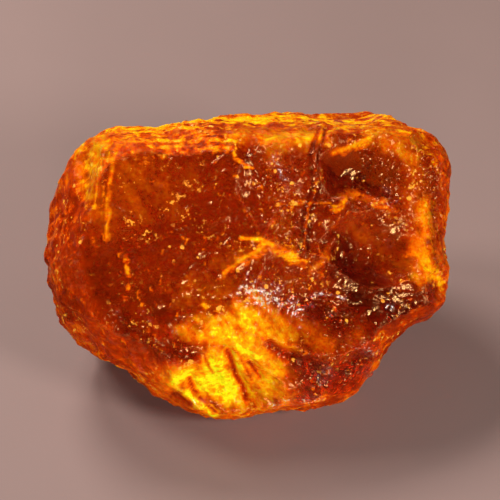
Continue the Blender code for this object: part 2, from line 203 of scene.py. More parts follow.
# Strokes mark the broad face's side: how strongly, half width, corners (u, v) of each one's line.
# Where the resin shows golden: partly its golden crust, partly a painted glow of light through thin crust and
# along crests
GOLDEN_AND_GLOW = [
    (1.0, 2.4, [(-24.0, 24.0), (-10.0, 25.5), (5.0, 26.5), (26.0, 26.5)]),
    (0.6, 1.6, [(-21.0, 21.5), (-10.0, 22.5), (5.0, 22.8), (12.0, 23.5), (22.0, 23.0)]),
    (0.8, 3.0, [(-29.0, 21.0), (-29.0, 15.0)]),
    (0.8, 0.45, [(-22.5, 22.2), (-24.0, 14.5), (-24.3, 9.6)]),
    (0.6, 0.35, [(-24.3, 9.6), (-24.3, 3.8)]),
    (0.7, 0.35, [(-23.4, 22.2), (-24.8, 14.1), (-25.4, 8.7)]),
    (0.7, 0.35, [(-24.4, 21.8), (-26.1, 15.0), (-26.6, 9.5)]),
    (0.6, 0.8, [(-28.0, 13.0), (-27.3, 6.0), (-26.4, 2.5)]),
    (0.75, 1.0, [(-22.0, 20.8), (-16.0, 20.6), (-8.0, 20.3), (0.0, 20.2)]),
    (0.8, 1.5, [(-21.0, 21.8), (-4.0, 21.6), (14.0, 22.0)]),
    (0.6, 0.3, [(13.5, 24.4), (11.7, 18.8), (12.1, 13.2), (10.5, 9.3), (9.8, 1.5)]),
    (0.55, 1.3, [(-20.0, 19.4), (-10.0, 19.3)]),
    (0.40, 0.9, [(-20.0, 18.0), (-16.0, 17.0)]),
    (0.5, 0.8, [(-28.5, 14.0), (-27.0, 4.0)]),
    (0.75, 0.55, [(-21.0, 1.5), (-20.6, -4.5), (-21.4, -7.0)]),
    (0.4, 0.6, [(-25.5, 20.0), (-26.0, 10.0)]),
    (0.4, 1.2, [(-26.0, -9.0), (-23.0, -15.0)]),
    (0.4, 1.0, [(-19.5, -12.0), (-14.0, -18.0)]),
    (1.0, 1.1, [(-2.5, -0.8), (-0.9, 0.4), (3.2, 3.0), (6.5, 2.2), (9.8, 0.0)]),
    (0.6, 0.8, [(-5.5, -3.0), (-2.5, -0.8)]),
    (0.7, 0.6, [(9.5, 1.0), (13.1, -2.1)]),
    (0.9, 0.4, [(-0.8, 4.6), (2.4, 4.2), (4.6, 2.8)]),
    (0.75, 1.3, [(15.9, 9.6), (18.0, 12.3), (23.4, 11.0), (25.7, 8.5)]),
    (0.7, 0.9, [(15.1, 4.0), (13.0, -0.5)]),
    (0.95, 1.8, [(29.0, 2.5), (32.0, 0.0), (34.0, -3.0)]),
    (0.5, 1.4, [(5.0, 19.0), (6.5, 14.0)]),
    (0.8, 0.7, [(16.5, 19.1), (21.4, 21.2)]),
    (1.0, 0.7, [(16.5, 24.2), (17.5, 24.0)]),
    (0.6, 2.5, [(24.0, 24.5), (31.0, 22.5), (33.5, 18.0)]),
    (0.9, 0.7, [(17.0, 24.5), (21.0, 24.5)]),
    (0.25, 2.4, [(-35.0, 0.0), (-33.0, 10.0)]),
    (0.35, 2.2, [(-33.0, -10.0), (-25.0, -17.0), (-16.0, -23.0)]),
    (0.4, 1.8, [(5.0, -25.5), (18.0, -22.5), (24.0, -16.0)]),
    (0.4, 2.2, [(33.5, 22.0), (35.5, 12.0), (35.0, 0.0), (34.0, -8.0)]),
    (0.5, 0.6, [(5.0, 10.3), (15.0, 10.5)]),
    (0.6, 0.5, [(3.6, 15.0), (3.0, 19.5)]),
    (0.9, 0.6, [(-2.0, 22.5), (-2.2, 18.5), (0.9, 16.4)]),
    (0.6, 1.2, [(-8.0, 21.5), (-3.0, 20.5)]),
]
# Painted glow: where the cloudy resin is painted bright gold, standing in for light caught inside, fading
# away from the lines
PAINTED_GLOW = [
    (1.35, 2.6, [(-6.2, -18.2), (-5.0, -20.6), (-2.8, -23.0)]),
    (0.95, 4.2, [(-8.5, -20.5), (-2.0, -22.0)]),
    (0.45, 5.5, [(-7.0, -17.0), (-4.0, -11.0), (2.0, -9.0), (5.0, -14.0)]),
    (0.28, 9.0, [(-5.0, -14.0), (3.0, -12.0)]),
    (1.3, 1.1, [(-12.4, -20.6), (-9.6, -18.3)]),
    (1.3, 1.1, [(-10.5, -23.0), (-6.0, -26.4)]),
    (0.5, 2.6, [(-11.0, -11.4), (-8.0, -12.0)]),
    (0.72, 1.7, [(-7.5, -12.2), (-2.2, -13.8), (2.7, -16.0), (5.6, -18.8)]),
    (1.1, 1.0, [(-1.5, -14.4), (0.6, -15.4), (2.6, -16.6)]),
    (0.6, 3.2, [(-5.5, -11.5), (0.0, -10.5), (6.0, -13.8)]),
    (0.9, 1.8, [(-5.6, -15.8), (-3.0, -16.2), (-1.0, -18.0)]),
    (0.5, 4.0, [(-12.0, -21.0), (0.0, -20.0), (6.0, -22.0)]),
    (0.55, 2.4, [(-26.0, 21.5), (-26.8, 17.0)]),
    (0.45, 1.6, [(-26.6, 16.5), (-27.4, 12.0)]),
    (0.32, 3.0, [(-28.5, 20.0), (-29.0, 15.0)]),
    (0.68, 1.8, [(31.0, 10.5), (31.4, 5.0)]),
    (0.65, 0.4, [(-22.4, 22.0), (-23.6, 16.0), (-24.2, 10.0), (-24.3, 4.0)]),
    (0.55, 0.35, [(-24.6, 21.5), (-26.0, 15.0), (-26.6, 9.5)]),
    (0.8, 0.45, [(-1.0, 4.4), (2.4, 4.2), (4.4, 3.2)]),
    (0.6, 0.5, [(-4.0, -1.6), (-0.9, 0.8), (2.6, 2.8)]),
    (0.75, 0.4, [(-7.6, -7.1), (-7.0, -7.5)]),
    (0.32, 4.0, [(-10.5, -4.5), (-3.0, -5.5)]),
    (0.3, 3.4, [(-25.0, 20.0), (-25.0, 8.0)]),
    (0.3, 3.4, [(-21.5, 13.0), (-18.5, 9.5)]),
    (0.3, 2.6, [(-4.0, 0.0), (3.0, 3.0), (9.0, 1.0)]),
    (0.45, 3.0, [(28.0, 12.0), (30.0, 2.0)]),
    (0.74, 3.2, [(-6.0, -11.5), (0.0, -14.0), (3.0, -16.5)]),
    (0.65, 4.0, [(4.0, -18.0), (3.0, -22.0)]),
    (0.5, 2.4, [(-1.0, 22.0), (8.0, 21.5), (13.0, 22.5)]),
    (0.4, 2.4, [(22.0, 23.0), (30.0, 21.5)]),
    (0.3, 5.0, [(-22.0, 18.0), (-15.0, 14.0)]),
    (0.76, 2.2, [(-2.0, -10.0), (4.0, -12.0)]),
    (0.55, 1.8, [(1.0, -5.5), (5.0, -9.0), (8.0, -13.0)]),
    (0.42, 3.0, [(7.5, -9.0), (12.0, -12.0), (14.0, -15.0)]),
    (0.34, 2.6, [(15.5, -17.5), (19.5, -13.0)]),
    (0.35, 1.8, [(3.0, 20.5), (5.0, 17.5)]),
    (0.15, 3.5, [(-30.0, -2.0), (-24.0, -12.0), (-12.0, -19.0)]),
    (0.22, 2.6, [(-6.0, -6.5), (2.0, -2.5), (10.0, -4.5)]),
    (0.74, 2.2, [(-1.0, -8.4), (2.0, -9.5), (3.0, -11.0)]),
    (0.7, 0.6, [(15.0, 19.2), (21.6, 22.0)]),
    (0.42, 0.9, [(16.5, 12.0), (23.0, 10.8), (25.5, 8.0)]),
    (0.42, 0.8, [(15.3, 4.5), (13.0, 0.5), (11.0, -1.5)]),
    (0.5, 0.3, [(5.5, 10.4), (14.5, 10.6)]),
    (0.75, 2.6, [(30.0, 4.0), (31.5, -1.0)]),
    (0.45, 2.6, [(24.0, 22.0), (29.0, 18.5), (29.5, 12.0)]),
    (0.3, 2.6, [(16.0, 6.0), (24.0, 4.0), (30.0, -2.0)]),
    (0.15, 3.0, [(30.0, 20.0), (33.0, 8.0)]),
]
# Painted shade: grooves, cracks, hollows and flanks painted dark, kept dark inside the painted glow
PAINTED_SHADE = [
    *((0.7, 0.3, groove) for groove in GROOVES),
    (0.3, 0.25, [(-23.2, 21.5), (-24.9, 13.0)]),
    (0.8, 2.0, [(33.0, -8.5), (27.5, -12.5), (24.5, -18.0)]),
    (0.5, 1.2, [(24.5, -18.0), (14.0, -25.0)]),
    (0.85, 0.35, [(-10.1, -20.1), (-9.5, -22.3), (-7.6, -24.6), (-5.6, -26.4)]),
    (0.9, 0.4, [(-3.4, -15.1), (-2.6, -17.2), (-2.0, -19.6), (-0.9, -21.4), (-0.2, -24.0)]),
    (0.6, 0.25, [(0.5, -17.2), (2.2, -19.8)]),
    (0.5, 0.25, [(-1.0, -16.6), (0.8, -20.4)]),
    (0.5, 0.3, [(-7.6, -15.6), (-6.0, -19.0)]),
    (0.8, 0.5, [(-13.0, -23.0), (-10.1, -24.8)]),
    (0.9, 0.8, [(4.0, -14.0), (6.5, -15.6), (10.6, -17.9), (13.7, -20.6)]),
    (0.6, 1.7, [(-15.5, -15.2), (-9.5, -16.0)]),
    (0.55, 1.4, [(1.0, 21.5), (0.5, 19.0)]),
    (0.9, 2.0, [(16.5, 4.0), (17.0, -1.0), (20.0, -6.0)]),
    (0.7, 3.0, [(20.0, -4.0), (25.0, -9.0), (29.0, -9.5)]),
    (0.9, 2.6, [(15.5, 16.0), (21.0, 15.0)]),
    (0.35, 2.5, [(9.0, -8.0), (16.0, -10.0)]),
    (0.6, 2.0, [(-27.0, -2.0), (-24.0, -8.0), (-18.0, -14.0)]),
    (0.52, 3.5, [(12.0, -20.0), (21.0, -18.0), (26.0, -12.0)]),
    (0.5, 1.8, [(-37.0, 3.0), (-35.5, -3.0), (-32.0, -9.0)]),
    (0.4, 2.4, [(-31.5, -2.0), (-29.0, -8.0)]),
    (0.42, 3.2, [(26.5, 14.0), (27.5, 4.0)]),
]
# Where the surface has a whitish bloom and a thin clear skin that glints; the whitish colour there is partly
# a painted sheen of glints
BLOOM_AND_SHEEN = [
    (0.8, 1.4, [(5.5, 17.5), (7.4, 13.8)]),
    (0.7, 1.0, [(24.0, 13.0), (25.5, 11.5)]),
    (0.6, 0.35, [(6.5, -7.5), (9.5, -5.9), (13.0, -5.3), (17.5, -6.2)]),
    (0.5, 0.35, [(9.0, -11.5), (12.0, -9.5), (15.0, -9.0)]),
    (1.0, 2.4, [(0.8, -4.6), (4.8, -6.6)]),
    (0.8, 1.8, [(7.0, -6.8), (10.0, -9.5)]),
    (0.8, 1.5, [(21.7, -15.2), (22.3, -15.6)]),
    (0.8, 1.7, [(13.8, -18.8), (14.2, -19.3)]),
    (0.7, 1.5, [(21.4, -19.4), (21.8, -19.8)]),
    (0.7, 0.9, [(4.7, -25.0), (13.0, -23.9)]),
    (0.4, 0.8, [(34.7, -7.7), (30.3, -10.7)]),
    (0.8, 1.1, [(-13.0, -12.2), (-12.4, -12.6)]),
    (0.6, 0.5, [(-22.5, -8.0), (-21.3, -10.6)]),
    (0.6, 0.6, [(-18.2, -8.4), (-16.0, -11.0)]),
    (0.5, 0.5, [(-20.0, -16.0), (-18.4, -19.0)]),
    (0.5, 0.5, [(-30.0, -3.0), (-29.0, -6.0)]),
    (0.4, 0.5, [(-26.0, -14.0), (-24.4, -16.6)]),
    (0.5, 0.5, [(-19.8, 1.0), (-19.4, 0.2)]),
    (0.6, 0.9, [(24.4, 3.9), (25.0, 3.6)]),
    (0.5, 1.2, [(22.0, -1.6), (24.5, -2.8)]),
    (0.6, 0.8, [(24.5, -7.0), (25.5, -7.6)]),
    (0.5, 0.9, [(16.0, -13.0), (19.0, -14.0)]),
    (0.5, 0.8, [(-9.0, -24.5), (-6.5, -25.0)]),
]
# Where the breaks are frosted too, and where the weathered patches are painted darker as painted shade
HAZE = [
    (0.9, 5.5, [(-31.0, 14.0), (-33.0, 2.0), (-30.0, -8.0), (-22.0, -16.0), (-14.0, -22.0)]),
    (0.5, 4.0, [(-20.0, -8.0), (-14.0, -14.0)]),
]
# Where small golden flecks crowd the clean breaks
FLECKED = [
    (1.0, 1.6, [(-20.5, 7.5), (-16.5, 4.5)]),
    (0.9, 2.2, [(-10.5, 8.0), (-2.0, 3.5)]),
    (0.7, 2.0, [(-15.0, 18.5), (-9.0, 14.5)]),
    (0.8, 1.4, [(-20.0, -1.5), (-14.0, -2.5)]),
    (0.9, 1.6, [(-10.0, -3.0), (-6.0, -8.0)]),
    (0.9, 1.5, [(-21.5, -3.0), (-18.0, -9.0), (-15.0, -13.0)]),
    (0.8, 1.8, [(6.0, 13.0), (8.5, 3.0)]),
    (0.8, 1.8, [(22.0, 8.5), (30.0, 6.0)]),
]
# Where the breaks are shattered into small facets that glint
SHATTERED = [
    (1.0, 2.6, [(23.0, 20.0), (26.0, 11.5)]),
    (1.0, 3.0, [(31.0, 20.0), (33.0, 6.0), (32.5, 0.0)]),
    (0.5, 2.0, [(32.0, -3.0), (29.0, -8.0)]),
    (0.8, 2.6, [(5.0, 18.6), (7.0, 11.0), (9.5, 2.4)]),
    (0.6, 1.6, [(0.5, -6.0), (4.5, -5.5), (8.0, -8.0)]),
    (0.8, 3.4, [(6.0, -18.0), (20.0, -19.0)]),
    (0.7, 0.6, [(12.8, 24.3), (11.0, 19.8)]),
    (0.7, 0.6, [(13.9, 24.3), (11.9, 18.0), (12.1, 12.5)]),
    (0.7, 0.6, [(10.1, 10.0), (9.2, 1.5)]),
    (0.9, 1.8, [(15.0, 11.0), (19.0, 12.0), (25.0, 9.0)]),
    (0.6, 1.6, [(15.5, 4.5), (13.0, -1.5)]),
    (0.6, 2.5, [(-24.0, -12.0), (-14.0, -16.0)]),
    (0.6, 5.0, [(12.0, -8.0), (20.0, -14.0)]),
    (0.8, 2.0, [(-12.0, -24.0), (3.0, -23.5)]),
    (0.6, 1.5, [(-12.0, -10.5), (-2.0, -12.0)]),
]
SHATTER_PITS = [(3.4, 0.5, 11), (1.5, 0.25, 12)]   # size, depth and seed
PIT_SHARPNESS = 2.5                # how narrow the ridges between the pits are

# The masks that strokes paint on the finished surface, and how much of the fraying each gets
STROKE_MASKS = [
    ("golden", GOLDEN_AND_GLOW, 1.0),
    ("glow", PAINTED_GLOW, 0.6),
    ("shade", PAINTED_SHADE, 0.5),
    ("bloom", BLOOM_AND_SHEEN, 1.0),
    ("haze", HAZE, 0.6),
    ("flecked", FLECKED, 1.0),
]
FRAY_SIZE, FRAY_SEED = 2.0, 8      # the noise that frays the strokes
FRAY = 0.9                         # and how much it does, in widths of a stroke
STROKE_EDGE = (-2.0, 0.3)          # where a stroke ends and where it is full, in widths out and in
STROKE_FADE = (-19.0, -9.0)        # w where all strokes have faded out, and where they start to

RIM_BAND = (0.84, 0.96)            # from where to where, of the way out, the thin rim is painted orange, a painted glow
CREST = (0.30, 1.20)               # how curved a crest is where its painted highlight starts to show and is full, per mm
CREST_SMOOTHING = 1                # how often it is evened out


# ---------------------------------------------------------------- the lump's shape


def unit(vector):
    """The vector at length 1."""
    vector = np.asarray(vector, float)
    return vector / np.linalg.norm(vector, axis=-1, keepdims=True)


def rim_radius(angles):
    """Radius of the outline at each angle, on a smooth curve through its corners."""
    corners = np.array(OUTLINE)
    corner_angles = np.arctan2(corners[:, 1], corners[:, 0])
    order = np.argsort(corner_angles)
    corner_angles = corner_angles[order]
    radii = np.hypot(corners[:, 0], corners[:, 1])[order]
    turn = 2 * math.pi
    knots = np.concatenate([corner_angles - turn, corner_angles, corner_angles + turn])
    values = np.tile(radii, 3)
    slopes = np.gradient(values, knots)
    first = np.clip(np.searchsorted(knots, angles) - 1, 0, len(knots) - 2)
    span = knots[first + 1] - knots[first]
    t = (angles - knots[first]) / span
    from_first = values[first] * (1 + 2 * t) + slopes[first] * span * t
    from_next = values[first + 1] * (3 - 2 * t) + slopes[first + 1] * span * (t - 1)
    return from_first * (1 - t) ** 2 + from_next * t ** 2


def body_reach(directions):
    """Reach of the rounded body: a superellipsoid whose rim is the outline."""
    u, v, w = directions.T
    across = np.hypot(u, v) / rim_radius(np.arctan2(v, u))
    through = np.abs(w) / np.where(w > 0, FRONT, BACK)
    return (across ** FULLNESS + through ** FULLNESS) ** (-1 / FULLNESS)


def flat_reach(directions, facing, distance):
    """Reach to a plane at that distance from the middle of the lump."""
    towards = directions @ facing
    met = towards > 1e-3
    return np.where(met, (distance - HEART @ facing) / np.where(met, towards, 1), NEVER)


def bowl_reach(directions, mouth, axes, scar):
    """Reach to an elliptic bowl, whose rim is level with the mouth at its half width and half length."""
    across, along, out = axes
    steep_across = scar.depth / scar.width ** 2
    steep_along = scar.depth / scar.length ** 2
    start = HEART - (mouth - out * scar.depth)
    a = steep_across * (directions @ across) ** 2 + steep_along * (directions @ along) ** 2
    b = 2 * steep_across * (start @ across) * (directions @ across)
    b += 2 * steep_along * (start @ along) * (directions @ along) - directions @ out
    c = steep_across * (start @ across) ** 2 + steep_along * (start @ along) ** 2 - start @ out
    under_root = b ** 2 - 4 * a * c
    divisor = np.sqrt(np.maximum(under_root, 0)) - b
    met = (under_root > 0) & (divisor > 1e-6)
    return np.where(met, 2 * c / np.where(met, divisor, 1), NEVER)


def soft_least(first, second, softness):
    """The lesser of two reaches, rounded off where they are close."""
    share = np.clip(0.5 + 0.5 * (second - first) / softness, 0, 1)
    return second + (first - second) * share - softness * share * (1 - share)


def noise_at(points, size, seed, octaves=3):
    """Fractal noise, about -1 to 1, with features of that size."""
    shift = Vector((seed * 17.3, seed * -9.1, seed * 5.7))
    roughness, lacunarity = 0.9, 2.1
    places = (Vector(point) / size + shift for point in points)
    return np.array([noise.fractal(place, roughness, lacunarity, octaves) for place in places])


def smooth_step(values, low, high):
    """0 below low, 1 above high and a smooth rise between."""
    t = np.clip((values - low) / (high - low), 0, 1)
    return t * t * (3 - 2 * t)


def line_distance(points, corners):
    """How far each point is, seen square on to the broad face, from a line through those corners."""
    flat = points[:, :2]
    nearest = np.full(len(points), NEVER)
    for start, end in zip(corners, corners[1:]):
        along = np.subtract(end, start)
        share = np.clip((flat - start) @ along / (along @ along), 0, 1)
        nearest = np.minimum(nearest, np.linalg.norm(flat - start - share[:, None] * along, axis=1))
    return nearest


def rib_height(points, ribs):
    """How far the ribs and cracks of the broad face stand out at each point."""
    height = np.zeros(len(points))
    for rib in ribs:
        height += rib.height * np.exp(-(line_distance(points, rib.corners) / rib.width) ** 2)
    return np.where(points[:, 2] > HEART[2], height, 0)


class Lump:
    """The body and the breaks in it, in the order in which they were struck."""

    def __init__(self):
        self.breaks = []
        for flat in FLATS:
            self.break_flat(flat)
        for scar in SCARS:
            self.strike(scar)
        self.chip_crust()

    def surface(self, directions, waver=None):
        """Reach in each direction, how fresh the break there is and how near an edge it lies."""
        reach = body_reach(directions)
        freshness = np.zeros(len(directions))
        edge = np.zeros(len(directions))
        for number, (break_reach, softness, break_freshness) in enumerate(self.breaks):
            own = break_reach(directions)
            if waver is not None:
                turn = number * WAVER_TURN
                own = own + WAVER * (waver[0] * math.cos(turn) + waver[1] * math.sin(turn))
                own = own + WAVER * FINE_WAVER * waver[2] * math.cos(turn * FINE_WAVER_TURN)
            near = np.exp(-np.abs(reach - own) / EDGE_REACH)
            cuts = own < reach
            edge = np.where(cuts, near, np.maximum(edge, near))
            freshness = np.where(cuts, break_freshness, freshness)
            reach = soft_least(reach, own, softness)
        return reach, freshness, edge

    def break_flat(self, flat):
        """Breaks the lump off along a plane."""
        facing = unit(flat.facing)
        self.breaks.append((lambda d: flat_reach(d, facing, flat.distance), flat.softness, flat.freshness))

    def mouth_of(self, scar):
        """Where the line from the heart past the scar's point leaves the lump, and the bowl's axes."""
        ray = unit(np.array(scar.near) - HEART)
        side = unit(np.cross(ray, ASKEW))
        up = np.cross(side, ray)
        step = 0.10
        rays = unit([ray, ray + side * step, ray - side * step, ray + up * step, ray - up * step])
        points = HEART + rays * self.surface(rays)[0][:, None]
        out = unit(np.cross(points[1] - points[2], points[3] - points[4]))
        out = unit(out * np.sign(out @ ray) + np.array((scar.lean[0], scar.lean[1], 0.0)))
        nearly_along_v = abs(out[1]) >= 0.9
        level = (1.0, 0.0, 0.0) if nearly_along_v else (0.0, 1.0, 0.0)
        across = unit(np.cross(level, out))
        along = np.cross(out, across)
        spin = math.radians(scar.spin)
        turned = across * math.cos(spin) + along * math.sin(spin)
        return points[0], (turned, np.cross(out, turned), out)

    def strike(self, scar):
        """Takes a hollow flake off the lump."""
        mouth, axes = self.mouth_of(scar)
        self.breaks.append((lambda d: bowl_reach(d, mouth, axes, scar), SCAR_SOFTNESS, SCAR_FRESHNESS))

    def chip_crust(self):
        """Takes small flakes off the crust all round, none off the clean breaks."""
        golden = (math.sqrt(5) - 1) / 2
        directions = []
        for number in range(CHIPS):
            height = 1 - 2 * (number + 0.5) / CHIPS
            turn = 2 * math.pi * golden * number
            level = math.sqrt(1 - height ** 2)
            directions.append((level * math.cos(turn), height, level * math.sin(turn)))
        directions = unit(np.array(directions) * PROPORTIONS)
        freshness = self.surface(directions)[1]
        for number in np.flatnonzero(freshness < CHIPPED_BELOW):
            smallest, largest = CHIP_SIZES
            length = smallest + (largest - smallest) * (number * golden % 1) ** 2
            width = length * CHIP_SLENDERNESS
            near = tuple(HEART + directions[number] * FRONT)
            self.strike(Scar(near, width, length, length * CHIP_DEPTH, number * CHIP_SPIN, (0.0, 0.0)))


def layer_height(points, layer, crust, extra=0.0):
    """Noise of one size, higher on the crust and by the extra height."""
    return noise_at(points, layer.size, layer.seed) * (layer.clean + layer.crusted * crust + extra)


def streak_height(points, streaks):
    """Fine relief drawn out along one direction."""
    along = unit(streaks.along)
    squeezed = points - np.outer(points @ along, along) * (1 - 1 / streaks.stretch)
    return streaks.height * noise_at(squeezed, streaks.size, streaks.seed)


def ripple_height(points, waver):
    """The rings that the biggest flake left in its scar as it sprang off."""
    u, v, w = points.T
    above = v - RIPPLES_MIDDLE[1]
    radius = np.hypot(u - RIPPLES_MIDDLE[0], above) + RIPPLE_SWAY * waver
    ringed = smooth_step(radius, *RIPPLES_START) * (1 - smooth_step(radius, *RIPPLES_END))
    wave = np.sin(2 * math.pi * radius / RIPPLE_SPACING)
    height = RIPPLE_HEIGHT * wave * ringed * smooth_step(above, *RIPPLES_ABOVE)
    return np.where(w > 0, height, 0)


def pit_depth(points):
    """How deep the pits of the shattered patches are."""
    deep = np.zeros(len(points))
    for size, depth, seed in SHATTER_PITS:
        deep += depth * np.minimum(PIT_SHARPNESS * np.abs(noise_at(points, size, seed, 2)), 1)
    return deep


def stroke_mask(points, strokes, fray):
    """From 0 to 1, how strongly the strokes mark each point of the broad face's side."""
    mask = np.zeros(len(points))
    for strength, width, corners in strokes:
        away = line_distance(points, corners) / width
        mask = np.maximum(mask, strength * smooth_step(fray - away, *STROKE_EDGE))
    return mask * smooth_step(points[:, 2], *STROKE_FADE)


def lump_surface(ball_points):
    """Moves the points of a ball of radius 1 to the lump's surface, in its own frame and in millimetres."""
    directions = unit(unit(ball_points + np.array((0, 0, FRONT_BIAS))) * PROPORTIONS)
    lump = Lump()
    smooth = HEART + directions * lump.surface(directions)[0][:, None]
    waver = [noise_at(smooth, size, seed) for size, seed in WAVER_NOISES]
    reach, freshness, edge = lump.surface(directions, waver)
    crust = 1 - freshness
    broken = HEART + directions * reach[:, None]
    reach += rib_height(broken, RIBS) + rib_height(broken, FINE_RIBS) + ripple_height(broken, waver[0])
    reach += layer_height(smooth, HILLOCKS, crust)
    reach += layer_height(smooth, CRUMBS, crust, EDGE_CRUMBS * edge)
    reach += layer_height(smooth, GRIT, np.maximum(crust, GRIT_ON_EDGES * edge))
    u, v, w = smooth.T
    on_top = smooth_step(v, *TOP_EDGE) * crust
    low_left = smooth_step(-u, *FLOW_LEFT) * smooth_step(-v, *FLOW_LOW) * smooth_step(w, *FLOW_FRONT)
    reach += streak_height(smooth, TOP_STREAKS) * on_top
    reach += streak_height(smooth, FLOW_STREAKS) * low_left
    fray = noise_at(smooth, FRAY_SIZE, FRAY_SEED) * FRAY
    shattered = stroke_mask(smooth, SHATTERED, fray)
    reach -= shattered * pit_depth(smooth)
    down = unit((0.0, -1.0, -1.0))
    floor = flat_reach(directions, down, REST_LEVEL)
    base = (reach >= floor).astype(float)
    points = HEART + directions * np.minimum(reach, floor)[:, None]
    plan = np.hypot(points[:, 0], points[:, 1]) / rim_radius(np.arctan2(points[:, 1], points[:, 0]))
    masks = {"crust": crust, "edge": edge, "base": base, "shattered": shattered}
    masks["rim"] = smooth_step(plan, *RIM_BAND)
    for name, strokes, fraying in STROKE_MASKS:
        masks[name] = stroke_mask(points, strokes, fray * fraying)
    return points, masks


def cube_ball(name):
    """A cube cut into squares, with each square's corners moved out to a ball."""
    shape = bmesh.new()
    bmesh.ops.create_cube(shape, size=2)
    bmesh.ops.subdivide_edges(shape, edges=shape.edges, cuts=MESH_CUTS - 1, use_grid_fill=True)
    mesh = bpy.data.meshes.new(name)
    shape.to_mesh(mesh)
    shape.free()
    piece = bpy.data.objects.new(name, mesh)
    bpy.context.scene.collection.objects.link(piece)
    corners = np.empty(len(mesh.vertices) * 3, np.float32)
    mesh.vertices.foreach_get("co", corners)
    cube = corners.reshape(-1, 3).astype(float)
    return piece, unit(np.tan(cube * math.pi / 4))


class Placing:
    """How the lump's own frame lies in the part's: tipped back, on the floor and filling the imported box."""

    def __init__(self, points):
        self.tilt = np.array(Matrix.Rotation(math.radians(90 - FACE_TILT), 3, "X"))
        tipped = points @ self.tilt.T
        low, high = (np.array(corner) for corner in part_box("amber_piece"))
        self.scale = (high[0] - low[0]) / np.ptp(tipped[:, 0])
        middle = (tipped.min(axis=0) + tipped.max(axis=0)) / 2 * self.scale
        self.shift = np.array((*((low + high) / 2 - middle)[:2], REST_LEVEL * self.scale))

    def place(self, points):
        """Points of the lump's frame, in metres in the part's frame."""
        return np.asarray(points) @ self.tilt.T * self.scale + self.shift


def read_values(items, name, width, kind=float):
    """One value of every item of a mesh as rows of an array."""
    values = np.empty(len(items) * width, kind)
    items.foreach_get(name, values)
    return values.reshape(-1, width)


def crest_mask(mesh, scale):
    """From 0 to 1, how sharply each point stands proud of the ones around it."""
    points = read_values(mesh.vertices, "co", 3) / scale
    normals = read_values(mesh.vertices, "normal", 3)
    first, second = read_values(mesh.edges, "vertices", 2, int).T
    neighbours = np.bincount(np.concatenate((first, second)))

    def mean_around(values):
        total = np.zeros_like(values)
        np.add.at(total, first, values[second])
        np.add.at(total, second, values[first])
        return (total.T / neighbours).T

    middle = mean_around(points)
    squares = (points ** 2).sum(1)
    spread = mean_around(squares) + squares - 2 * (points * middle).sum(1)
    curve = 4 * ((points - middle) * normals).sum(1) / spread
    for _ in range(CREST_SMOOTHING):
        curve = 0.5 * (curve + mean_around(curve))
    return smooth_step(curve, *CREST)


def make_lump():
    """The lump's mesh in its place, with its masks as attributes for the finish."""
    piece, ball = cube_ball("amber_lump")
    points, masks = lump_surface(ball)
    placing = Placing(points)
    piece.data.vertices.foreach_set("co", placing.place(points).astype(np.float32).ravel())
    piece.data.update()
    piece.data.shade_smooth()
    masks["crest"] = crest_mask(piece.data, placing.scale)
    for name, values in masks.items():
        attribute = piece.data.attributes.new(name, "FLOAT", "POINT")
        attribute.data.foreach_set("value", values.astype(np.float32))
    return piece, placing


# ---------------------------------------------------------------- finishes


class Value:
    """A value of a finish: arithmetic on it adds the nodes that work it out."""

    def __init__(self, finish, node, socket):
        self.finish = finish
        self.node = node
        self.socket = socket

    def output(self, name):
        """Another output of the same node."""
        return Value(self.finish, self.node, self.node.outputs[name])

    def math(self, operation, first, second):
        """What the operation makes of two values."""
        return self.finish.add("ShaderNodeMath", {"operation": operation}, {0: first, 1: second})

    def __add__(self, other):
        return self.math("ADD", self, other)

    def __sub__(self, other):
        return self.math("SUBTRACT", self, other)

    def __mul__(self, other):
        return self.math("MULTIPLY", self, other)

    def __rsub__(self, other):
        return self.math("SUBTRACT", other, self)

    __radd__ = __add__
    __rmul__ = __mul__

    def over(self, other):
        """The greater of the two."""
        return self.math("MAXIMUM", self, other)

    def between(self, low, high, start=0.0, end=1.0):
        """Start below low, end above high and a smooth change between."""
        settings = {"interpolation_type": "SMOOTHSTEP"}
        return self.finish.add("ShaderNodeMapRange", settings, {0: self, 1: low, 2: high, 3: start, 4: end})


